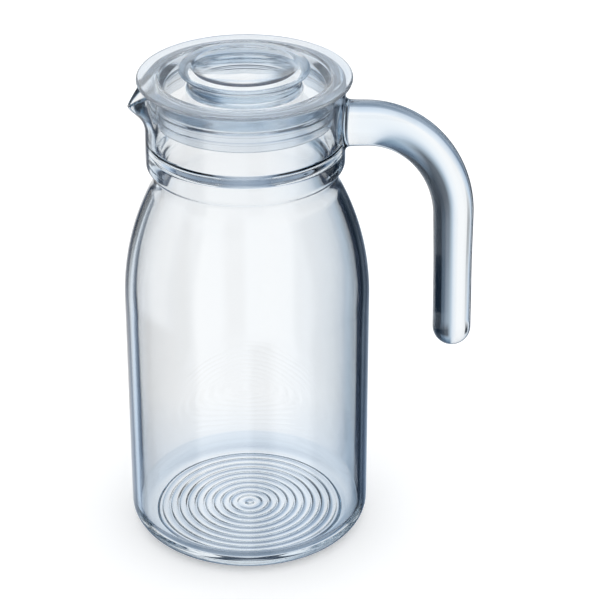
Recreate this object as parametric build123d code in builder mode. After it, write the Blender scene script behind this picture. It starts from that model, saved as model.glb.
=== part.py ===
from build123d import *
import os
from math import sqrt

# Large glass water jug: a moulded glass vessel with a collar, a beak spout and a foot
# ringed underneath, a one-ended glass handle fused to the collar, and a lid made of a
# pressed glass disc with a dished knob held in a soft plastic sealing ring.
# Millimetres, +Z up, origin at the centre of the foot, handle towards +X, spout towards -X.

# ---- outside of the vessel --------------------------------------------------------
body_radius = 55.0
heel_radius = 9.5               # round edge between foot and body
shoulder_radius = 116.6         # one long arc from body to neck
neck_radius = 40.8              # waist under the collar
neck_arc_radius = 12.0          # hollow curve from shoulder into the waist
rim_height = 219.5
waist_drop = 45.3               # rim down to the waist, where the neck is narrowest
neck_land = 2.3                 # straight part of the waist
collar_radius = 43.6
collar_depth = 37.0             # rim down to the collar's lower edge
rim_edge_radius = 1.8

# ---- inside of the vessel ---------------------------------------------------------
wall = 3.6                      # body and shoulder
floor_height = 6.0
floor_corner_radius = 9.0
neck_wall = 4.6
collar_wall = 4.3
ledge_depth = 31.0              # rim down to where the bore starts to widen for the lid
ledge_rise = 6.0                # height over which it widens

# ---- foot -------------------------------------------------------------------------
foot_width = 2.0                # of the flat standing ring
foot_recess = 1.3               # how far the underside lies above the table
ridge_pitch = 4.05              # concentric ridges moulded into the underside
first_ridge_radius = 7.1
ridge_height = 0.9
ridge_width = 2.9
nub_radius = 2.2                # button at the centre of the ridges

# ---- spout ------------------------------------------------------------------------
spout_reach = 7.2               # tip of the beak, out from the collar
spout_root_depth = 6.6          # first section, in from the collar's outside
spout_root_half_width = 20.0
spout_root_drop = 0.3           # the lip leaves the rim just under its rounded top
spout_base_drop = 19.0          # underside of the spout at its root, below the rim
spout_base_rise = 0.5           # of the underside where it passes the collar
spout_lip_half_width = 11.5     # where the beak passes the collar's outside
spout_lip_drop = 3.2            # its lip below the rim there
spout_beak_length = 3.3         # last section before the tip
spout_beak_half_width = 5.8
spout_beak_drop = 6.4
spout_beak_rise = 2.6           # of its underside above the root's
spout_tip_half_width = 1.7
spout_tip_drop = 11.9           # upper edge of the tip below the rim
spout_tip_thickness = 2.8
spout_wall = 3.1
spout_channel_half_width = 0.7  # of the channel at the tip
spout_channel_depth = 0.9
spout_channel_run_out = 0.5     # the channel is cut past the tip

# ---- handle -----------------------------------------------------------------------
handle_drop = 20.3              # rim down to the axis of the arm where it leaves the collar
handle_root_radius = 10.3
handle_tip_radius = 8.6
handle_weld = 2.2               # fused bead round the root
handle_straight = 9.1           # collar to the start of the bend
handle_reach = 47.3             # collar to the hanging arm's axis
handle_bend_drop = 44.8         # height of the bend
handle_length = 100.6           # arm's axis at the root down to the centre of the round end
handle_lean = 1.6               # the hanging arm leans out towards its tip
handle_taper_share = 0.75       # the rod has thinned to its tip size here along its length
handle_stations = 11

# ---- lid: soft sealing ring -------------------------------------------------------
seat_clearance = 0.25           # flange above the rim
flange_overhang = 3.0           # beyond the collar
flange_thickness = 1.9
skirt_clearance = 1.5           # collar's bore to the skirt
skirt_thickness = 1.7
skirt_drop = 17.0               # below the flange
rib_drops = (9.5, 13.0)         # sealing ribs, below the flange
rib_clearance = 0.3             # ribs to the collar's bore
rib_height = 1.5
trough_inset = 0.9              # inner edge of the flange, in from the skirt's outside
trough_depth = 5.4              # flange top down to the glass disc
upper_lip = 0.8                 # how far the lips of the ring reach over the disc's edge
lower_lip = 1.4
lip_thickness = 1.1

# ---- lid: glass disc --------------------------------------------------------------
disc_inset = 2.2                # its edge, in from the skirt's outside
disc_thickness = 4.2
knob_base_radius = 24.2
knob_top_radius = 28.3
knob_height = 9.7
knob_foot_fillet = 1.6
knob_edge_radius = 1.4
dish_radius = 22.5
dish_depth = 5.0

# ---- sizes that follow from these -------------------------------------------------
waist_height = rim_height - waist_drop
waist_top = waist_height + neck_land
collar_start = rim_height - collar_depth
bore_radius = body_radius - wall
neck_bore_radius = neck_radius - neck_wall
collar_bore_radius = collar_radius - collar_wall
ledge_start = rim_height - ledge_depth
ledge_end = ledge_start + ledge_rise
foot_radius = body_radius - heel_radius
foot_inner_radius = foot_radius - foot_width
ridge_room = foot_inner_radius - foot_recess - first_ridge_radius - ridge_width / 2
ridge_count = int(ridge_room / ridge_pitch) + 1

os.makedirs("parts", exist_ok=True)


def shoulder_rise(arc_radius, waist_radius, waist_arc_radius):
    """Join radius, and the rises to the join and to the waist, of a shoulder arc that runs into a waist."""
    centre_x = body_radius - shoulder_radius
    across = waist_radius + waist_arc_radius - centre_x
    between = arc_radius + waist_arc_radius
    rise = sqrt(between**2 - across**2)
    share = arc_radius / between
    return centre_x + across * share, rise * share, rise


# ---- jug body ---------------------------------------------------------------------
outer_radius, outer_rise, waist_rise = shoulder_rise(shoulder_radius, neck_radius, neck_arc_radius)
inner_radius, inner_rise, bore_rise = shoulder_rise(
    shoulder_radius - wall, neck_bore_radius, neck_arc_radius + wall)
shoulder_start = waist_height - waist_rise
outer_join = (outer_radius, shoulder_start + outer_rise)
inner_join = (inner_radius, shoulder_start + inner_rise)
bore_waist_height = shoulder_start + bore_rise
collar_step_middle = ((neck_radius + collar_radius) / 2, (waist_top + collar_start) / 2)
ledge_middle = ((neck_bore_radius + collar_bore_radius) / 2, (ledge_start + ledge_end) / 2)

# spout sections: distance from the axis, half width, top and bottom height
spout_root = collar_radius - spout_root_depth
spout_tip = collar_radius + spout_reach
spout_base = rim_height - spout_base_drop
spout_tip_top = rim_height - spout_tip_drop
beak_sections = (
    (spout_root, spout_root_half_width, rim_height - spout_root_drop, spout_base),
    (collar_radius, spout_lip_half_width, rim_height - spout_lip_drop, spout_base + spout_base_rise),
    (spout_tip - spout_beak_length, spout_beak_half_width, rim_height - spout_beak_drop,
     spout_base + spout_beak_rise),
    (spout_tip, spout_tip_half_width, spout_tip_top, spout_tip_top - spout_tip_thickness),
)
channel_top = rim_height + spout_wall
channel_base = spout_base + spout_wall
channel_sections = (
    (spout_root - 2 * spout_wall, spout_root_half_width - spout_wall, channel_top, channel_base),
    (collar_radius, spout_lip_half_width - spout_wall, channel_top, channel_base + spout_base_rise),
    (spout_tip + spout_channel_run_out, spout_channel_half_width, channel_top,
     spout_tip_top - spout_channel_depth),
)

with BuildPart() as jug_body:
    # outside, turned as one solid
    with BuildSketch(Plane.XZ):
        with BuildLine():
            Polyline((0, rim_height), (0, foot_recess), (foot_inner_radius - foot_recess, foot_recess),
                     (foot_inner_radius, 0), (foot_radius, 0))
            TangentArc((foot_radius, 0), (body_radius, heel_radius), tangent=(1, 0))
            Line((body_radius, heel_radius), (body_radius, shoulder_start))
            TangentArc((body_radius, shoulder_start), outer_join, tangent=(0, 1))
            TangentArc((neck_radius, waist_height), outer_join, tangent=(0, -1))
            Line((neck_radius, waist_height), (neck_radius, waist_top))
            TangentArc((neck_radius, waist_top), collar_step_middle, tangent=(0, 1))
            TangentArc((collar_radius, collar_start), collar_step_middle, tangent=(0, -1))
            Line((collar_radius, collar_start), (collar_radius, rim_height - rim_edge_radius))
            TangentArc((collar_radius, rim_height - rim_edge_radius),
                       (collar_radius - rim_edge_radius, rim_height), tangent=(0, 1))
            Line((collar_radius - rim_edge_radius, rim_height), (0, rim_height))
        make_face()
    revolve(axis=Axis.Z)
    # spout: a beak that narrows and drops towards its tip, then the channel inside it
    for sections, mode in ((beak_sections, Mode.ADD), (channel_sections, Mode.SUBTRACT)):
        for reach, half_width, top, bottom in sections:
            with BuildSketch(Plane.YZ.offset(-reach)):
                with BuildLine():
                    Line((-half_width, top), (half_width, top))
                    Bezier((half_width, top), (half_width, bottom), (0, bottom))
                    Bezier((0, bottom), (-half_width, bottom), (-half_width, top))
                make_face()
        loft(mode=mode)
    # inside, cut as one turned shape
    with BuildSketch(Plane.XZ):
        with BuildLine():
            Polyline((0, rim_height), (0, floor_height), (bore_radius - floor_corner_radius, floor_height))
            TangentArc((bore_radius - floor_corner_radius, floor_height),
                       (bore_radius, floor_height + floor_corner_radius), tangent=(1, 0))
            Line((bore_radius, floor_height + floor_corner_radius), (bore_radius, shoulder_start))
            TangentArc((bore_radius, shoulder_start), inner_join, tangent=(0, 1))
            TangentArc((neck_bore_radius, bore_waist_height), inner_join, tangent=(0, -1))
            Line((neck_bore_radius, bore_waist_height), (neck_bore_radius, ledge_start))
            TangentArc((neck_bore_radius, ledge_start), ledge_middle, tangent=(0, 1))
            TangentArc((collar_bore_radius, ledge_end), ledge_middle, tangent=(0, -1))
            Line((collar_bore_radius, ledge_end), (collar_bore_radius, rim_height - rim_edge_radius))
            TangentArc((collar_bore_radius, rim_height - rim_edge_radius),
                       (collar_bore_radius + rim_edge_radius, rim_height), tangent=(0, 1))
            Line((collar_bore_radius + rim_edge_radius, rim_height), (0, rim_height))
        make_face()
    revolve(axis=Axis.Z, mode=Mode.SUBTRACT)
    # concentric ridges and centre nub on the underside
    for index in range(ridge_count):
        ridge_radius = first_ridge_radius + index * ridge_pitch
        with BuildSketch(Plane.XZ):
            with BuildLine():
                ridge_foot = Line((ridge_radius - ridge_width / 2, foot_recess),
                                  (ridge_radius + ridge_width / 2, foot_recess))
                ThreePointArc(ridge_foot @ 1, (ridge_radius, foot_recess - ridge_height), ridge_foot @ 0)
            make_face()
        revolve(axis=Axis.Z)
    with BuildSketch(Plane.XZ):
        with BuildLine():
            Polyline((nub_radius, foot_recess), (0, foot_recess), (0, foot_recess - ridge_height))
            TangentArc((0, foot_recess - ridge_height), (nub_radius, foot_recess), tangent=(1, 0))
        make_face()
    revolve(axis=Axis.Z)
jug_body.part.label = "jug_body"
export_step(jug_body.part, "parts/jug_body.step")

# ---- handle -----------------------------------------------------------------------
root_x = collar_radius - handle_root_radius / 2
bend_x = collar_radius + handle_straight
arm_x = collar_radius + handle_reach
arm_height = rim_height - handle_drop
bend_bottom = arm_height - handle_bend_drop
tip_centre = (arm_x + handle_lean, arm_height - handle_length)

with BuildPart() as handle:
    with BuildLine(Plane.XZ) as centreline:
        Line((root_x, arm_height), (bend_x, arm_height))
        EllipticalCenterArc((bend_x, bend_bottom), x_radius=arm_x - bend_x, y_radius=handle_bend_drop,
                            start_angle=90, arc_size=-90)
        Line((arm_x, bend_bottom), tip_centre)
    path = centreline.wires()[0]
    for station in range(handle_stations):
        share = station / (handle_stations - 1)
        taper = min(1, share / handle_taper_share)
        with BuildSketch(Plane(origin=path @ share, z_dir=path % share)):
            Circle(handle_root_radius + (handle_tip_radius - handle_root_radius) * taper)
    loft()
    with Locations(Plane(origin=path @ 1, z_dir=path % 1)):
        Sphere(handle_tip_radius, arc_size1=0, arc_size2=90,
               align=(Align.CENTER, Align.CENTER, Align.MIN))
    # bead of glass round the root
    with BuildSketch(Plane.XZ):
        with BuildLine():
            bead_top = arm_height + handle_root_radius
            Polyline((collar_radius + handle_weld, bead_top), (collar_radius + handle_weld, arm_height),
                     (root_x, arm_height), (root_x, bead_top + handle_weld),
                     (collar_radius, bead_top + handle_weld))
            TangentArc((collar_radius, bead_top + handle_weld), (collar_radius + handle_weld, bead_top),
                       tangent=(0, -1))
        make_face()
    revolve(axis=Axis((0, 0, arm_height), (1, 0, 0)))
    # the root is saddle-shaped where it is fused to the collar
    Cylinder(collar_radius, rim_height, align=(Align.CENTER, Align.CENTER, Align.MIN), mode=Mode.SUBTRACT)
handle.part.label = "handle"
export_step(handle.part, "parts/handle.step")

# ---- lid: glass disc with its knob ------------------------------------------------
skirt_radius = collar_bore_radius - skirt_clearance
skirt_inner_radius = skirt_radius - skirt_thickness
trough_radius = skirt_radius - trough_inset
disc_radius = skirt_radius - disc_inset
flange_bottom = rim_height + seat_clearance
flange_top = flange_bottom + flange_thickness
disc_top = flange_top - trough_depth
disc_bottom = disc_top - disc_thickness
knob_top = disc_top + knob_height

with BuildPart() as lid_glass:
    with BuildSketch(Plane.XZ):
        with BuildLine():
            Polyline((0, knob_top - dish_depth), (0, disc_bottom), (disc_radius, disc_bottom),
                     (disc_radius, disc_top), (knob_base_radius + knob_foot_fillet, disc_top))
            TangentArc((knob_base_radius + knob_foot_fillet, disc_top),
                       (knob_base_radius, disc_top + knob_foot_fillet), tangent=(-1, 0))
            TangentArc((knob_base_radius, disc_top + knob_foot_fillet),
                       (knob_top_radius, knob_top - knob_edge_radius), tangent=(0, 1))
            TangentArc((knob_top_radius, knob_top - knob_edge_radius),
                       (knob_top_radius - knob_edge_radius, knob_top), tangent=(0, 1))
            Line((knob_top_radius - knob_edge_radius, knob_top), (dish_radius, knob_top))
            TangentArc((0, knob_top - dish_depth), (dish_radius, knob_top), tangent=(1, 0))
        make_face()
    revolve(axis=Axis.Z)
lid_glass.part.label = "lid_glass"
export_step(lid_glass.part, "parts/lid_glass.step")

# ---- lid: soft sealing ring -------------------------------------------------------
skirt_bottom = flange_bottom - skirt_drop
rib_radius = collar_bore_radius - rib_clearance
flange_radius = collar_radius + flange_overhang
flange_edge = flange_thickness / 2

with BuildPart() as lid_seal:
    with BuildSketch(Plane.XZ):
        with BuildLine():
            Line((trough_radius, flange_top), (flange_radius - flange_edge, flange_top))
            TangentArc((flange_radius - flange_edge, flange_top),
                       (flange_radius - flange_edge, flange_bottom), tangent=(1, 0))
            Polyline((flange_radius - flange_edge, flange_bottom), (skirt_radius, flange_bottom),
                     (skirt_radius, skirt_bottom), (skirt_inner_radius, skirt_bottom),
                     (skirt_inner_radius, disc_bottom - 2 * lip_thickness),
                     (disc_radius - lower_lip, disc_bottom - lip_thickness),
                     (disc_radius - lower_lip, disc_bottom), (disc_radius, disc_bottom),
                     (disc_radius, disc_top), (disc_radius - upper_lip, disc_top),
                     (disc_radius - upper_lip, disc_top + lip_thickness), (trough_radius, flange_top))
        make_face()
    revolve(axis=Axis.Z)
    for drop in rib_drops:
        with BuildSketch(Plane.XZ):
            with Locations((skirt_radius, flange_bottom - drop)):
                Ellipse(rib_radius - skirt_radius, rib_height / 2)
        revolve(axis=Axis.Z)
lid_seal.part.label = "lid_seal"
export_step(lid_seal.part, "parts/lid_seal.step")
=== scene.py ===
import bpy
from math import atan2, cos, hypot, pi, radians, sin, sqrt
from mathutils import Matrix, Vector


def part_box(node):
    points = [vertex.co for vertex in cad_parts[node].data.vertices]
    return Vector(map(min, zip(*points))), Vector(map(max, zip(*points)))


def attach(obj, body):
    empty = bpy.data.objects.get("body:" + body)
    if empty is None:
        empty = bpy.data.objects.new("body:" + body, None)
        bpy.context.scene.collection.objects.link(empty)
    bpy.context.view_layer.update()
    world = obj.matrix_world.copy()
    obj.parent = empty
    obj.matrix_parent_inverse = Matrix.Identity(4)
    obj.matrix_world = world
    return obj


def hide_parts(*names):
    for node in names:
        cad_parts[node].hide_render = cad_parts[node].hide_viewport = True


# Looks of the glass water jug. Every length below is in metres, in the frame of the CAD part:
# +Z up, origin at the centre of the foot, handle towards +X, spout towards -X.

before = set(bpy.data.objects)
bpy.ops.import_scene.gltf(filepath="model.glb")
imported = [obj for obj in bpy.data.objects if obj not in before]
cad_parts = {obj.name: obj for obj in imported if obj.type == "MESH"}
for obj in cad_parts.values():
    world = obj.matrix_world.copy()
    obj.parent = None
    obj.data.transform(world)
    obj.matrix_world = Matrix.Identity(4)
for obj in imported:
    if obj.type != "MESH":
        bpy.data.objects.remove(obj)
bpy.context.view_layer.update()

# ---- sizes read from the frame ----------------------------------------------------
jug_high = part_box("jug_body")[1]
handle_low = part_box("handle")[0]
disc_low, disc_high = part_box("lid_glass")
seal_low, seal_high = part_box("lid_seal")

body_radius = jug_high.y
rim_height = jug_high.z
handle_lowest = handle_low.z
disc_radius = disc_high.y
disc_bottom = disc_low.z
knob_top = disc_high.z
flange_radius = seal_high.y
flange_top = seal_high.z
skirt_bottom = seal_low.z

# ---- sizes of the glass -----------------------------------------------------------
# In step with the CAD part, except the ledge, the floor's corner, the foot's ridges, the
# spout's lip and the handle's arm, which differ a little and stay inside the CAD part's box.
heel_radius = 0.0095
shoulder_radius = 0.1166
neck_radius = 0.0408
neck_arc_radius = 0.0120
waist_drop = 0.0453
neck_land = 0.0023
collar_radius = 0.0436
collar_depth = 0.0370
rim_edge_radius = 0.0018
wall = 0.0036
floor_height = 0.0060
floor_corner_radius = 0.0060
neck_bore_radius = 0.0362
ledge_middle = 0.0300           # below the rim
ledge_slope = radians(23.6)
ledge_bend = 0.0022
collar_bore_radius = 0.0393
foot_inner_radius = 0.0435
foot_recess = 0.0013
ridge_pitch = 0.00405
ridge_count = 9
first_ridge_radius = 0.0071
ridge_height = 0.0007
ridge_width = 0.0039
nub_radius = 0.0022

spout_half_angle = radians(28)
spout_push = 0.0072
spout_drop = 0.0119
spout_thinning = 0.0024         # the lip is this much thinner at the tip
spout_base = 0.1985             # the collar is round again below this
spout_point = 0.10              # roundness of the beak's tip, as a share of its half angle
spout_sharpness = 1.75          # how fast the beak narrows away from its tip
spout_margin = 1.15             # the close columns go this much past the beak

handle_height = 0.1992
handle_root_radius = 0.0103
handle_tip_radius = 0.0086
handle_weld = 0.0022
handle_bend_start = 0.0527
handle_arm_top = 0.1544
handle_arm_x = 0.0916
handle_tip_x = 0.0925
handle_taper_share = 0.75
glass_gap = 0.00002             # film between the handle's root and the collar

disc_thickness = 0.0042
knob_base_radius = 0.0242
knob_top_radius = 0.0283
knob_foot_fillet = 0.0016
knob_edge_radius = 0.0014
dish_radius = 0.0225
dish_depth = 0.0050
dish_land = 0.0012              # flat ring between the dish's corner and the knob's edge
dish_corner = 0.0006
dish_slope = 0.46               # fall of the dish at its rim
disc_edge = 0.0004              # rounding of the disc's rim
flange_thickness = 0.0019
skirt_radius = 0.0378
skirt_thickness = 0.0017
rib_drops = (0.0095, 0.0130)
rib_radius = 0.0390
rib_height = 0.0015
trough_radius = 0.0369
upper_lip_radius = 0.0348
lower_lip_radius = 0.0342
lip_thickness = 0.0011
seal_corner = 0.0007            # rounding of the ring's corners
seat_gap = 0.00006              # film between the glass disc and its ring

arc_step = radians(6)
sharp_edge = radians(38)

ledge_run = collar_bore_radius - neck_bore_radius
ledge_straight = (ledge_run - 2 * ledge_bend * (1 - cos(ledge_slope))) / sin(ledge_slope)
ledge_rise = 2 * ledge_bend * sin(ledge_slope) + ledge_straight * cos(ledge_slope)
ledge_start = rim_height - ledge_middle - ledge_rise / 2
ledge_end = ledge_start + ledge_rise
collar_start = rim_height - collar_depth


def shoulder_rise(arc_radius, waist_radius, waist_arc_radius):
    """Where a shoulder arc meets the waist's arc.

    Gives the radius and the rise of the join, the rise of the waist, and the slope at the join.
    """
    centre_x = body_radius - shoulder_radius
    across = waist_radius + waist_arc_radius - centre_x
    between = arc_radius + waist_arc_radius
    rise = sqrt(between**2 - across**2)
    share = arc_radius / between
    return centre_x + across * share, rise * share, rise, (-rise / between, across / between)


waist_height = rim_height - waist_drop
shoulder_start = waist_height - shoulder_rise(shoulder_radius, neck_radius, neck_arc_radius)[2]


# ---- outlines ---------------------------------------------------------------------
def line_to(outline, point, pieces=1):
    """Adds a straight run in equal pieces."""
    start = outline[-1]
    for k in range(1, pieces + 1):
        share = k / pieces
        outline.append((start[0] + (point[0] - start[0]) * share,
                        start[1] + (point[1] - start[1]) * share))


def arc_to(outline, point, tangent, pieces=None):
    """Adds the arc that leaves the last point along tangent and ends at point."""
    x0, y0 = outline[-1]
    length = hypot(*tangent)
    tx, ty = tangent[0] / length, tangent[1] / length
    dx, dy = point[0] - x0, point[1] - y0
    side = tx * dy - ty * dx
    if abs(side) < 1e-12:
        line_to(outline, point)
        return
    radius = (dx * dx + dy * dy) / (2 * side)
    centre = (x0 - ty * radius, y0 + tx * radius)
    start = atan2(y0 - centre[1], x0 - centre[0])
    turn = atan2(point[1] - centre[1], point[0] - centre[0]) - start
    if radius > 0 and turn < 0:
        turn += 2 * pi
    if radius < 0 and turn > 0:
        turn -= 2 * pi
    pieces = pieces or max(4, int(abs(turn) / arc_step) + 1)
    for k in range(1, pieces + 1):
        angle = start + turn * k / pieces
        outline.append((centre[0] + abs(radius) * cos(angle), centre[1] + abs(radius) * sin(angle)))
    outline[-1] = point


def jug_outline():
    """Underside, outside, rim and inside of the vessel, from the axis round to the axis."""
    low = foot_recess - ridge_height
    outline = [(0.0, low)]
    arc_to(outline, (nub_radius, foot_recess), (1, 0.0001))
    for index in range(ridge_count):
        middle = first_ridge_radius + index * ridge_pitch
        line_to(outline, (middle - ridge_width / 2, foot_recess), 2)
        slope = 4 * ridge_height / ridge_width
        arc_to(outline, (middle + ridge_width / 2, foot_recess), (1, -slope), 10)
    line_to(outline, (foot_inner_radius - foot_recess, foot_recess), 3)
    arc_to(outline, (foot_inner_radius, 0), (1, -0.3), 6)
    line_to(outline, (body_radius - heel_radius, 0), 3)
    arc_to(outline, (body_radius, heel_radius), (1, 0), 18)
    line_to(outline, (body_radius, shoulder_start), 30)
    radius, rise, _, slope = shoulder_rise(shoulder_radius, neck_radius, neck_arc_radius)
    arc_to(outline, (radius, shoulder_start + rise), (0, 1), 30)
    arc_to(outline, (neck_radius, waist_height), slope, 14)
    line_to(outline, (neck_radius, waist_height + neck_land), 2)
    middle = ((neck_radius + collar_radius) / 2, (waist_height + neck_land + collar_start) / 2)
    arc_to(outline, middle, (0, 1), 8)
    across, up = middle[0] - neck_radius, middle[1] - waist_height - neck_land
    step = (2 * across * up, up**2 - across**2)
    arc_to(outline, (collar_radius, collar_start), step, 8)
    line_to(outline, (collar_radius, spout_base), 6)
    line_to(outline, (collar_radius, rim_height - rim_edge_radius), 24)
    arc_to(outline, (collar_radius - rim_edge_radius, rim_height), (0, 1), 8)
    line_to(outline, (collar_bore_radius + rim_edge_radius, rim_height), 2)
    arc_to(outline, (collar_bore_radius, rim_height - rim_edge_radius), (-1, 0), 8)
    line_to(outline, (collar_bore_radius, spout_base), 24)
    line_to(outline, (collar_bore_radius, ledge_end), 2)
    across, down = ledge_bend * (1 - cos(ledge_slope)), ledge_bend * sin(ledge_slope)
    arc_to(outline, (collar_bore_radius - across, ledge_end - down), (0, -1), 6)
    line_to(outline, (neck_bore_radius + across, ledge_start + down), 4)
    arc_to(outline, (neck_bore_radius, ledge_start), (-sin(ledge_slope), -cos(ledge_slope)), 6)
    radius, rise, bore_rise, slope = shoulder_rise(
        shoulder_radius - wall, neck_bore_radius, neck_arc_radius + wall)
    line_to(outline, (neck_bore_radius, shoulder_start + bore_rise), 6)
    arc_to(outline, (radius, shoulder_start + rise), (0, -1), 14)
    bore = body_radius - wall
    arc_to(outline, (bore, shoulder_start), (-slope[0], -slope[1]), 30)
    line_to(outline, (bore, floor_height + floor_corner_radius), 30)
    arc_to(outline, (bore - floor_corner_radius, floor_height), (0, -1), 18)
    line_to(outline, (0.0, floor_height), 24)
    return outline


def disc_outline():
    """Section of the glass lid: underside, rim, top, flared knob and its dish."""
    top = disc_bottom + disc_thickness
    radius = disc_radius - seat_gap
    outline = [(0.0, disc_bottom)]
    line_to(outline, (radius - disc_edge, disc_bottom), 16)
    arc_to(outline, (radius, disc_bottom + disc_edge), (1, 0), 4)
    line_to(outline, (radius, top - disc_edge), 4)
    arc_to(outline, (radius - disc_edge, top), (0, 1), 4)
    line_to(outline, (knob_base_radius + knob_foot_fillet, top), 8)
    arc_to(outline, (knob_base_radius, top + knob_foot_fillet), (-1, 0), 10)
    arc_to(outline, (knob_top_radius, knob_top - knob_edge_radius), (0, 1), 16)
    arc_to(outline, (knob_top_radius - knob_edge_radius, knob_top), (0, 1), 10)
    line_to(outline, (dish_radius + dish_land, knob_top), 3)
    arc_to(outline, (dish_radius - dish_corner, knob_top - dish_corner), (-1, 0), 5)
    arc_to(outline, (0.0, knob_top - dish_depth), (-1, -dish_slope), 26)
    return outline


def seal_outline():
    """Section of the soft ring: flange, skirt with its ribs, and the groove that holds the disc."""
    low = flange_top - flange_thickness
    disc_top = disc_bottom + disc_thickness
    edge = flange_thickness / 2
    inner = skirt_radius - skirt_thickness
    soft = seal_corner
    outline = [(trough_radius + soft, flange_top)]
    line_to(outline, (flange_radius - edge, flange_top), 6)
    arc_to(outline, (flange_radius - edge, low), (1, 0), 16)
    line_to(outline, (skirt_radius + soft, low), 5)
    arc_to(outline, (skirt_radius, low - soft), (-1, 0), 5)
    for drop in rib_drops:
        line_to(outline, (skirt_radius, low - drop + rib_height / 2), 4)
        proud = rib_radius - skirt_radius
        arc_to(outline, (skirt_radius, low - drop - rib_height / 2), (1, -0.5 * rib_height / proud), 10)
    line_to(outline, (skirt_radius, skirt_bottom + soft), 4)
    arc_to(outline, (skirt_radius - soft, skirt_bottom), (0, -1), 5)
    line_to(outline, (inner + soft, skirt_bottom), 2)
    arc_to(outline, (inner, skirt_bottom + soft), (-1, 0), 5)
    line_to(outline, (inner, disc_bottom - 2 * lip_thickness), 6)
    line_to(outline, (lower_lip_radius, disc_bottom - lip_thickness), 3)
    line_to(outline, (lower_lip_radius, disc_bottom - seat_gap), 3)
    line_to(outline, (disc_radius, disc_bottom - seat_gap), 3)
    line_to(outline, (disc_radius, disc_top + seat_gap), 5)
    line_to(outline, (upper_lip_radius, disc_top + seat_gap), 3)
    line_to(outline, (upper_lip_radius, disc_top + lip_thickness), 3)
    line_to(outline, (trough_radius, flange_top - soft), 5)
    arc_to(outline, (trough_radius + soft, flange_top), (0.45, 0.9), 6)
    return outline[:-1]


# ---- meshes -----------------------------------------------------------------------
def new_object(name, vertices, faces):
    """A smooth-shaded mesh object from its points and faces."""
    mesh = bpy.data.meshes.new(name)
    mesh.from_pydata(vertices, [], faces)
    mesh.validate()
    mesh.polygons.foreach_set("use_smooth", [True] * len(mesh.polygons))
    mesh.set_sharp_from_angle(angle=sharp_edge)
    mesh.update()
    thing = bpy.data.objects.new(name, mesh)
    bpy.context.scene.collection.objects.link(thing)
    return thing


def turned(name, outline, angles, closed=False, shape=None):
    """Turns an outline about +Z.

    An end on the axis closes in one point, and a closed outline makes a ring.
    """
    vertices, rows = [], []
    for radius, height in outline:
        if radius < 1e-9:
            rows.append([len(vertices)])
            vertices.append((0, 0, height))
            continue
        rows.append(list(range(len(vertices), len(vertices) + len(angles))))
        for angle in angles:
            r, z = shape(radius, height, angle) if shape else (radius, height)
            vertices.append((r * cos(angle), r * sin(angle), z))
    faces = []
    pairs = list(zip(rows, rows[1:])) + ([(rows[-1], rows[0])] if closed else [])
    count = len(angles)
    for a, b in pairs:
        for k in range(count):
            n = (k + 1) % count
            if len(a) == 1:
                faces.append((a[0], b[n], b[k]))
            elif len(b) == 1:
                faces.append((a[k], a[n], b[0]))
            else:
                faces.append((a[k], a[n], b[n], b[k]))
    if closed:
        faces = [face[::-1] for face in faces]
    return new_object(name, vertices, faces)


def even_angles(count):
    """Columns spaced evenly round the axis."""
    return [2 * pi * k / count for k in range(count)]


def spout_angles():
    """Columns round the jug, closer together across the spout, which is at half a turn."""
    fine, coarse = radians(0.8), radians(1.7)
    half = spout_half_angle * spout_margin
    inside = int(2 * half / fine)
    outside = int((2 * pi - 2 * half) / coarse)
    angles = [pi - half + 2 * half * k / inside for k in range(inside)]
    angles += [pi + half + (2 * pi - 2 * half) * k / outside for k in range(outside)]
    return angles


def beak(radius, height, angle):
    """Pulls the collar out and down into the beak of the spout."""
    away = abs((angle % (2 * pi)) - pi) / spout_half_angle
    if height <= spout_base or away >= 1:
        return radius, height
    rounded = sqrt(away**2 + spout_point**2) - spout_point
    share = max(0.0, 1 - rounded / (sqrt(1 + spout_point**2) - spout_point)) ** spout_sharpness
    rise = (height - spout_base) / (rim_height - spout_base)
    lift = rise**2 * (3 - 2 * rise)
    inner = min(1.0, max(0.0, (collar_radius - radius) / (collar_radius - collar_bore_radius)))
    push = spout_push + spout_thinning * inner
    return radius + push * share * lift, height - spout_drop * share * rise


def handle_path(stations):
    """Centre line of the handle: out of the collar, round the bend and down the arm."""
    bend_x, bend_z = handle_arm_x - handle_bend_start, handle_height - handle_arm_top
    tip = (handle_tip_x, handle_lowest + handle_tip_radius)
    start = collar_radius - handle_root_radius / 2
    run_steps, bend_steps, arm_steps = 60, 400, 200
    points = [(start + (handle_bend_start - start) * k / run_steps, handle_height)
              for k in range(run_steps)]
    points += [(handle_bend_start + bend_x * sin(pi / 2 * k / bend_steps),
                handle_arm_top + bend_z * cos(pi / 2 * k / bend_steps))
               for k in range(bend_steps)]
    points += [(handle_arm_x + (tip[0] - handle_arm_x) * k / arm_steps,
                handle_arm_top + (tip[1] - handle_arm_top) * k / arm_steps)
               for k in range(arm_steps + 1)]
    lengths = [0.0]
    for a, b in zip(points, points[1:]):
        lengths.append(lengths[-1] + hypot(b[0] - a[0], b[1] - a[1]))
    path, j = [], 0
    for k in range(stations):
        want = lengths[-1] * k / (stations - 1)
        while j < len(lengths) - 2 and lengths[j + 1] < want:
            j += 1
        part = (want - lengths[j]) / (lengths[j + 1] - lengths[j])
        x = points[j][0] + (points[j + 1][0] - points[j][0]) * part
        z = points[j][1] + (points[j + 1][1] - points[j][1]) * part
        path.append((x, z, want / lengths[-1]))
    return path


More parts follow.
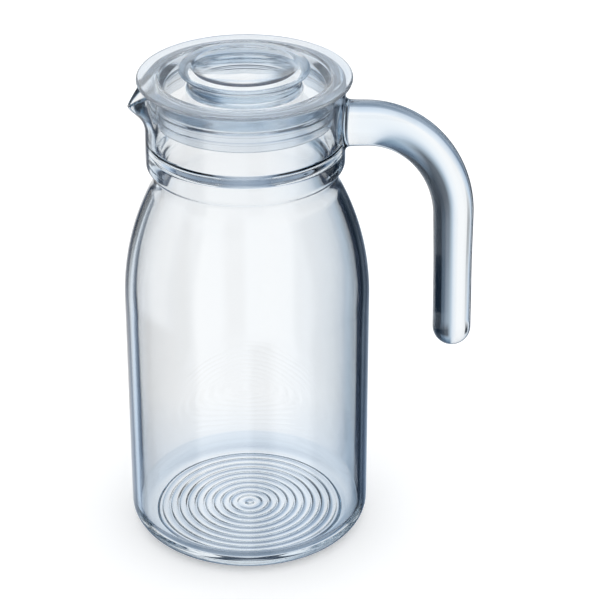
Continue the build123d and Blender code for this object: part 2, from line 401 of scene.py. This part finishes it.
def handle_mesh():
    """Solid rod with a fused bead at the saddle-shaped root and a round tip."""
    columns, stations, bead_steps, tip_steps = 72, 150, 8, 16
    path = handle_path(stations)
    vertices, faces, rings = [], [], []

    def ring(x, z, direction, radius, saddle):
        along = Vector((direction[0], 0, direction[1])).normalized()
        across = Vector((0, 1, 0))
        up = along.cross(across)
        row = []
        for k in range(columns):
            angle = 2 * pi * k / columns
            point = Vector((x, 0, z)) + radius * (cos(angle) * up + sin(angle) * across)
            if saddle is not None:
                point.x = sqrt((collar_radius + glass_gap) ** 2 - point.y**2) + saddle
            row.append(len(vertices))
            vertices.append(point)
        rings.append(row)

    # root face: rings that shrink to the axis, on the collar's own surface
    bead = handle_root_radius + handle_weld
    for share in (0.15, 0.3, 0.45, 0.6, 0.75, 0.88, 0.97):
        ring(0, handle_height, (1, 0), bead * share, 0.0)
    # bead: a quarter round from the collar onto the rod
    for k in range(bead_steps + 1):
        turn = pi / 2 * k / bead_steps
        ring(0, handle_height, (1, 0), bead - handle_weld * sin(turn), handle_weld * (1 - cos(turn)))
    clear = collar_radius + 2 * handle_weld
    for k, (x, z, share) in enumerate(path):
        if x < clear:
            continue
        before, after = path[max(0, k - 1)], path[min(stations - 1, k + 1)]
        tapered = min(1, share / handle_taper_share)
        radius = handle_root_radius + (handle_tip_radius - handle_root_radius) * tapered
        ring(x, z, (after[0] - before[0], after[1] - before[1]), radius, None)
    direction = Vector((path[-1][0] - path[-2][0], path[-1][1] - path[-2][1])).normalized()
    for k in range(1, tip_steps):
        turn = pi / 2 * k / tip_steps
        reach = handle_tip_radius * sin(turn)
        ring(path[-1][0] + direction[0] * reach, path[-1][1] + direction[1] * reach, direction,
             handle_tip_radius * cos(turn), None)
    for a, b in zip(rings, rings[1:]):
        for k in range(columns):
            n = (k + 1) % columns
            faces.append((a[k], a[n], b[n], b[k]))
    root = len(vertices)
    vertices.append(Vector((collar_radius + glass_gap, 0, handle_height)))
    tip = len(vertices)
    vertices.append(Vector((path[-1][0] + direction[0] * handle_tip_radius, 0,
                            path[-1][1] + direction[1] * handle_tip_radius)))
    for k in range(columns):
        n = (k + 1) % columns
        faces.append((root, rings[0][n], rings[0][k]))
        faces.append((rings[-1][k], rings[-1][n], tip))
    return new_object("handle_rod", vertices, [face[::-1] for face in faces])


# ---- materials --------------------------------------------------------------------
glass_index, plastic_index = 1.5, 1.45
edge_start, edge_full = 0.73, 0.78      # facing values between which the painted shade on the glass's edge sets in
ripple_scale, polish_scale = 45.0, 22.0
flow_scale, satin_scale = 30.0, 60.0
jug_ripple, fine_ripple = 0.00008, 0.00004
jug_density, small_density = 6.5, 6.0


def principled(name):
    """A new material with its tree, its shader and its output."""
    material = bpy.data.materials.new(name)
    material.use_nodes = True
    tree = material.node_tree
    return material, tree, tree.nodes["Principled BSDF"], tree.nodes["Material Output"]


def noise(tree, scale, detail, stretch=(1, 1, 1)):
    """Noise on the object's own coordinates, stretched along its axes."""
    place = tree.nodes.new("ShaderNodeTexCoord")
    mapping = tree.nodes.new("ShaderNodeMapping")
    mapping.inputs["Scale"].default_value = stretch
    texture = tree.nodes.new("ShaderNodeTexNoise")
    texture.inputs["Scale"].default_value = scale
    texture.inputs["Detail"].default_value = detail
    tree.links.new(place.outputs["Object"], mapping.inputs["Vector"])
    tree.links.new(mapping.outputs["Vector"], texture.inputs["Vector"])
    return texture


def spread(tree, texture, low, high):
    """Maps a noise to a range."""
    node = tree.nodes.new("ShaderNodeMapRange")
    node.inputs["From Min"].default_value = 0.3
    node.inputs["From Max"].default_value = 0.7
    node.inputs["To Min"].default_value = low
    node.inputs["To Max"].default_value = high
    tree.links.new(texture.outputs["Fac"], node.inputs["Value"])
    return node


def bump(tree, shader, texture, distance):
    """Presses a noise into the surface, as deep as distance."""
    node = tree.nodes.new("ShaderNodeBump")
    node.inputs["Distance"].default_value = distance
    node.inputs["Strength"].default_value = 1.0
    tree.links.new(texture.outputs["Fac"], node.inputs["Height"])
    tree.links.new(node.outputs["Normal"], shader.inputs["Normal"])


def painted_dark_edge(tree, clear, rim):
    """Clear glass face on, with painted shade on the edge: the colour turns near black where the surface
    is seen at a glancing angle.
    """
    weight = tree.nodes.new("ShaderNodeLayerWeight")
    weight.inputs["Blend"].default_value = 0.5
    ramp = tree.nodes.new("ShaderNodeValToRGB")
    ramp.color_ramp.elements[0].position = edge_start
    ramp.color_ramp.elements[0].color = (*clear, 1)
    ramp.color_ramp.elements[1].position = edge_full
    ramp.color_ramp.elements[1].color = (*rim, 1)
    tree.links.new(weight.outputs["Facing"], ramp.inputs["Fac"])
    return ramp


def clear_glass(name, tint, rim, absorb, density, ripple, stretch):
    """Polished glass: full transmission, a cool body colour with painted shade that turns it near black
    at glancing angles, and the faint ripple of moulding.
    """
    material, tree, shader, output = principled(name)
    # base colour: clear face on, painted near-black shade where the surface is seen at a glancing angle
    tree.links.new(painted_dark_edge(tree, tint, rim).outputs["Color"], shader.inputs["Base Color"])
    shader.inputs["IOR"].default_value = glass_index
    shader.inputs["Transmission Weight"].default_value = 1.0
    bump(tree, shader, noise(tree, ripple_scale, 1.5, stretch), ripple)
    polish = spread(tree, noise(tree, polish_scale, 3.0), 0.0, 0.012)
    tree.links.new(polish.outputs["Result"], shader.inputs["Roughness"])
    volume = tree.nodes.new("ShaderNodeVolumeAbsorption")
    volume.inputs["Color"].default_value = (*absorb, 1)
    volume.inputs["Density"].default_value = density
    tree.links.new(volume.outputs["Volume"], output.inputs["Volume"])
    return material


def milky_plastic(name):
    """Soft translucent polyethylene with faint flow marks and a satin skin."""
    material, tree, shader, output = principled(name)
    flow = noise(tree, flow_scale, 4.0, (1, 1, 3))
    colour = tree.nodes.new("ShaderNodeMix")
    colour.data_type = "RGBA"
    colour.inputs["A"].default_value = (0.86, 0.93, 1.0, 1)
    colour.inputs["B"].default_value = (0.94, 0.97, 1.0, 1)
    cloud = spread(tree, flow, 0.0, 1.0)
    tree.links.new(cloud.outputs["Result"], colour.inputs["Factor"])
    tree.links.new(colour.outputs["Result"], shader.inputs["Base Color"])
    shader.inputs["IOR"].default_value = plastic_index
    shader.inputs["Transmission Weight"].default_value = 0.88
    satin = spread(tree, noise(tree, satin_scale, 3.0), 0.06, 0.10)
    tree.links.new(satin.outputs["Result"], shader.inputs["Roughness"])
    return material


def dress(thing, material):
    """Gives the object this material alone."""
    thing.data.materials.clear()
    thing.data.materials.append(material)


# ---- the four pieces --------------------------------------------------------------
clear_tint = (0.992, 0.997, 1.0)
# painted shade: the near-black colour laid on the glass where it is seen at a glancing angle
painted_edge_shade = (0.015, 0.022, 0.04)
water_blue = (0.55, 0.78, 0.93)
# the glass's real tint, its painted edge shade and its real absorption colour
glass_tint_and_painted_edge = (clear_tint, painted_edge_shade, water_blue)
jug_glass = clear_glass("jug_glass", *glass_tint_and_painted_edge, jug_density, jug_ripple, (1, 1, 0.35))
handle_glass = clear_glass("handle_glass", *glass_tint_and_painted_edge, small_density, fine_ripple, (1, 1, 1))
disc_glass = clear_glass("lid_disc_glass", *glass_tint_and_painted_edge, small_density, fine_ripple, (1, 1, 1))
seal_plastic = milky_plastic("seal_plastic")

vessel = turned("vessel", jug_outline(), spout_angles(), shape=beak)
dress(vessel, jug_glass)
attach(vessel, "jug")
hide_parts("jug_body")

handle = handle_mesh()
dress(handle, handle_glass)
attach(handle, "jug")
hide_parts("handle")

disc = turned("lid_disc", disc_outline(), even_angles(192))
dress(disc, disc_glass)
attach(disc, "lid")
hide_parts("lid_glass")

seal = turned("lid_ring", seal_outline(), even_angles(192), closed=True)
dress(seal, seal_plastic)
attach(seal, "lid")
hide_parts("lid_seal")


# ---- floor, world and camera ------------------------------------------------------
def pale_floor():
    """Matt paper under the jug, lifted a little towards white for the camera alone."""
    half, grain_scale, camera_lift = 6.0, 700.0, 0.25
    floor = new_object("floor", [(-half, -half, 0), (half, -half, 0), (half, half, 0), (-half, half, 0)],
                       [(0, 1, 2, 3)])
    material, tree, shader, output = principled("floor_paper")
    grain = spread(tree, noise(tree, grain_scale, 2.0), 0.955, 0.975)
    tree.links.new(grain.outputs["Result"], shader.inputs["Base Color"])
    shader.inputs["Roughness"].default_value = 0.9
    shader.inputs["Specular IOR Level"].default_value = 0.0
    shader.inputs["Emission Color"].default_value = (1, 1, 1, 1)
    path = tree.nodes.new("ShaderNodeLightPath")
    lift = tree.nodes.new("ShaderNodeMath")
    lift.operation = "MULTIPLY"
    lift.inputs[1].default_value = camera_lift
    tree.links.new(path.outputs["Is Camera Ray"], lift.inputs[0])
    tree.links.new(lift.outputs["Value"], shader.inputs["Emission Strength"])
    dress(floor, material)
    floor.visible_transmission = False
    floor.visible_glossy = False
    return floor


def ramp_of(tree, stops, low, high):
    """A colour ramp whose stops are given over the range low to high."""
    place = tree.nodes.new("ShaderNodeMapRange")
    place.inputs["From Min"].default_value = low
    place.inputs["From Max"].default_value = high
    ramp = tree.nodes.new("ShaderNodeValToRGB")
    while len(ramp.color_ramp.elements) < len(stops):
        ramp.color_ramp.elements.new(0.5)
    for element, (value, colour) in zip(ramp.color_ramp.elements, stops):
        element.position = (value - low) / (high - low)
        element.color = (*colour, 1)
    tree.links.new(place.outputs["Result"], ramp.inputs["Fac"])
    return place.inputs["Value"], ramp.outputs["Color"]


def times(tree, a, b, share=None):
    """a times b, or only where share is white."""
    mix = tree.nodes.new("ShaderNodeMix")
    mix.data_type = "RGBA"
    mix.blend_type = "MULTIPLY"
    mix.inputs["Factor"].default_value = 1.0
    if share:
        tree.links.new(share, mix.inputs["Factor"])
    tree.links.new(a, mix.inputs["A"])
    tree.links.new(b, mix.inputs["B"])
    return mix.outputs["Result"]


white = (1.0, 1.0, 1.0)
black = (0.006, 0.012, 0.022)
navy = (0.03, 0.045, 0.07)


def backdrop():
    """The lit paper behind the jug, with a dark flag on each side. Only glass and gloss see it."""
    far, left, right, bottom, top = 0.60, -1.0, 1.3, -0.9, 0.6
    card = new_object("backdrop", [(left, far, bottom), (right, far, bottom), (right, far, top),
                                   (left, far, top)], [(0, 1, 2, 3)])
    material, tree, shader, output = principled("backdrop_paper")
    tree.nodes.remove(shader)
    place = tree.nodes.new("ShaderNodeTexCoord")
    split = tree.nodes.new("ShaderNodeSeparateXYZ")
    tree.links.new(place.outputs["Object"], split.inputs["Vector"])
    across = (
        (-1.00, navy), (-0.86, navy), (-0.76, (0.30, 0.37, 0.46)), (-0.69, (0.58, 0.66, 0.75)),
        (-0.60, (0.74, 0.81, 0.88)),
        (-0.45, (0.80, 0.86, 0.92)), (-0.24, white), (0.01, white), (0.08, (0.90, 0.94, 0.98)),
        (0.10, (0.84, 0.89, 0.94)), (0.125, (0.70, 0.77, 0.85)), (0.145, (0.54, 0.63, 0.72)),
        (0.165, (0.48, 0.58, 0.68)), (0.20, (0.50, 0.60, 0.70)), (0.27, (0.40, 0.49, 0.60)),
        (0.31, (0.24, 0.31, 0.40)), (0.375, (0.16, 0.22, 0.29)), (0.43, (0.12, 0.16, 0.22)),
        (0.455, (0.03, 0.05, 0.07)), (0.475, black), (1.30, black),
    )
    downward = (
        (-0.90, (0.20, 0.26, 0.34)), (-0.66, (0.36, 0.44, 0.55)), (-0.60, (0.62, 0.70, 0.80)),
        (-0.46, (0.72, 0.80, 0.89)), (-0.36, (0.85, 0.90, 0.96)), (-0.30, white), (0.60, white),
    )
    upward = (
        (-0.90, white), (0.06, white), (0.20, (0.52, 0.60, 0.66)), (0.35, (0.26, 0.33, 0.41)),
        (0.60, (0.13, 0.17, 0.22)),
    )
    right_side = ((-1.00, black), (0.12, black), (0.18, white), (1.30, white))
    left_flag, right_flag = (0.95, 0.95, 0.95), (0.85, 0.85, 0.85)
    flags = ((-1.00, black), (-0.52, black), (-0.46, left_flag), (-0.30, left_flag), (-0.25, black),
             (0.15, black), (0.22, right_flag), (0.60, right_flag), (0.75, black), (1.30, black))
    flag_height = ((-0.90, black), (-0.36, black), (-0.08, white), (0.03, white), (0.14, black),
                   (0.60, black))
    # upward holds on the right side alone, and the flags only as high as flag_height says
    shades = {}
    for key, stops, axis, low, high in (
            ("across", across, "X", left, right), ("downward", downward, "Z", bottom, top),
            ("upward", upward, "Z", bottom, top), ("right_side", right_side, "X", left, right),
            ("flags", flags, "X", left, right), ("flag_height", flag_height, "Z", bottom, top)):
        value_in, shades[key] = ramp_of(tree, stops, low, high)
        tree.links.new(split.outputs[axis], value_in)
    paper = times(tree, shades["across"], shades["downward"])
    paper = times(tree, paper, shades["upward"], shades["right_side"])
    hung = times(tree, shades["flags"], shades["flag_height"])
    dark = tree.nodes.new("ShaderNodeMix")
    dark.data_type = "RGBA"
    dark.inputs["B"].default_value = (*black, 1)
    tree.links.new(hung, dark.inputs["Factor"])
    tree.links.new(paper, dark.inputs["A"])
    glow = tree.nodes.new("ShaderNodeEmission")
    tree.links.new(dark.outputs["Result"], glow.inputs["Color"])
    tree.links.new(glow.outputs["Emission"], output.inputs["Surface"])
    dress(card, material)
    card.visible_camera = False
    card.visible_diffuse = False
    card.visible_shadow = False


def studio_world():
    """White for the camera, an even light for matt things, and strips of light and dark for glass."""
    world = bpy.data.worlds.new("studio")
    bpy.context.scene.world = world
    world.use_nodes = True
    tree = world.node_tree
    tree.nodes.clear()
    output = tree.nodes.new("ShaderNodeOutputWorld")
    place = tree.nodes.new("ShaderNodeTexCoord")
    split = tree.nodes.new("ShaderNodeSeparateXYZ")
    tree.links.new(place.outputs["Generated"], split.inputs["Vector"])
    bearing = tree.nodes.new("ShaderNodeMath")
    bearing.operation = "ARCTAN2"
    tree.links.new(split.outputs["X"], bearing.inputs[0])
    tree.links.new(split.outputs["Y"], bearing.inputs[1])
    light_blue = (0.80, 0.86, 0.93)
    slate = (0.25, 0.31, 0.40)
    haze = (0.50, 0.57, 0.66)
    round_the_room = (
        (-180, light_blue), (-135, white), (-128, navy), (-115, navy), (-104, slate),
        (-98, light_blue), (-82, light_blue), (-78, haze), (-70, haze), (-65, haze), (-61, navy),
        (-50, navy), (-46, light_blue), (-30, white), (25, white), (36, (0.18, 0.24, 0.32)),
        (45, black), (92, black), (97, navy), (110, navy), (120, light_blue), (180, light_blue),
    )
    turn_in, strips = ramp_of(tree, [(radians(a), c) for a, c in round_the_room], -pi, pi)
    tree.links.new(bearing.outputs["Value"], turn_in)
    # on these bearings the room is navy near the floor, whatever it is higher up
    beside = ((-180, black), (-114, black), (-110, white), (-66, white), (-62, black),
              (150, black), (160, white), (173, white), (180, black))
    beside_in, beside_share = ramp_of(tree, [(radians(a), c) for a, c in beside], -pi, pi)
    low_in, low = ramp_of(tree, ((-1.0, navy), (-0.47, navy), (-0.40, white), (1.0, white)), -1.0, 1.0)
    tree.links.new(bearing.outputs["Value"], beside_in)
    tree.links.new(split.outputs["Z"], low_in)
    strips = times(tree, strips, low, beside_share)
    heights = ((-1.0, (0, 0, 0)), (-0.80, (0, 0, 0)), (-0.60, white), (0.28, white), (0.42, (0, 0, 0)),
               (1.0, (0, 0, 0)))
    rise_in, level = ramp_of(tree, heights, -1.0, 1.0)
    # the dark band overhead draws the dark line along the front of the heel
    floor_and_ceiling = ((-1.0, (0.20, 0.26, 0.34)), (-0.87, (0.24, 0.31, 0.40)),
                         (-0.60, (0.55, 0.62, 0.71)), (0.66, light_blue), (0.71, navy),
                         (0.86, navy), (0.89, light_blue), (1.0, light_blue))
    room_in, ends = ramp_of(tree, floor_and_ceiling, -1.0, 1.0)
    tree.links.new(split.outputs["Z"], rise_in)
    tree.links.new(split.outputs["Z"], room_in)
    room = tree.nodes.new("ShaderNodeMix")
    room.data_type = "RGBA"
    tree.links.new(ends, room.inputs["A"])
    tree.links.new(level, room.inputs["Factor"])
    tree.links.new(strips, room.inputs["B"])
    panel = tree.nodes.new("ShaderNodeBackground")
    tree.links.new(room.outputs["Result"], panel.inputs["Color"])
    light = tree.nodes.new("ShaderNodeBackground")
    light.inputs["Color"].default_value = (0.97, 0.985, 1.0, 1)
    light.inputs["Strength"].default_value = 1.0
    path = tree.nodes.new("ShaderNodeLightPath")
    glassy = tree.nodes.new("ShaderNodeMath")
    glassy.operation = "MAXIMUM"
    tree.links.new(path.outputs["Is Glossy Ray"], glassy.inputs[0])
    tree.links.new(path.outputs["Is Transmission Ray"], glassy.inputs[1])
    first = tree.nodes.new("ShaderNodeMixShader")
    tree.links.new(glassy.outputs["Value"], first.inputs["Fac"])
    tree.links.new(light.outputs["Background"], first.inputs[1])
    tree.links.new(panel.outputs["Background"], first.inputs[2])
    clean = tree.nodes.new("ShaderNodeBackground")
    last = tree.nodes.new("ShaderNodeMixShader")
    clean.inputs["Color"].default_value = (1, 1, 1, 1)
    tree.links.new(path.outputs["Is Camera Ray"], last.inputs["Fac"])
    tree.links.new(first.outputs["Shader"], last.inputs[1])
    tree.links.new(clean.outputs["Background"], last.inputs[2])
    tree.links.new(last.outputs["Shader"], output.inputs["Surface"])


def camera():
    """A long lens above the lid, looking down across the jug."""
    eye = bpy.data.cameras.new("camera")
    eye.lens = 140.4
    eye.sensor_width = 36.0
    eye.clip_start = 0.05
    eye.clip_end = 30.0
    thing = bpy.data.objects.new("camera", eye)
    thing.location = (0.0238, -0.9267, 0.6171)
    thing.rotation_euler = (radians(61.39), 0, 0)
    bpy.context.scene.collection.objects.link(thing)
    bpy.context.scene.camera = thing


pale_floor()
backdrop()
studio_world()
camera()

# light runs down inside the wall for some fifty bounces before it leaves at the heel
most_bounces = 72
scene = bpy.context.scene
scene.view_settings.view_transform = "Standard"
scene.cycles.max_bounces = most_bounces
scene.cycles.transmission_bounces = most_bounces
scene.cycles.glossy_bounces = 24
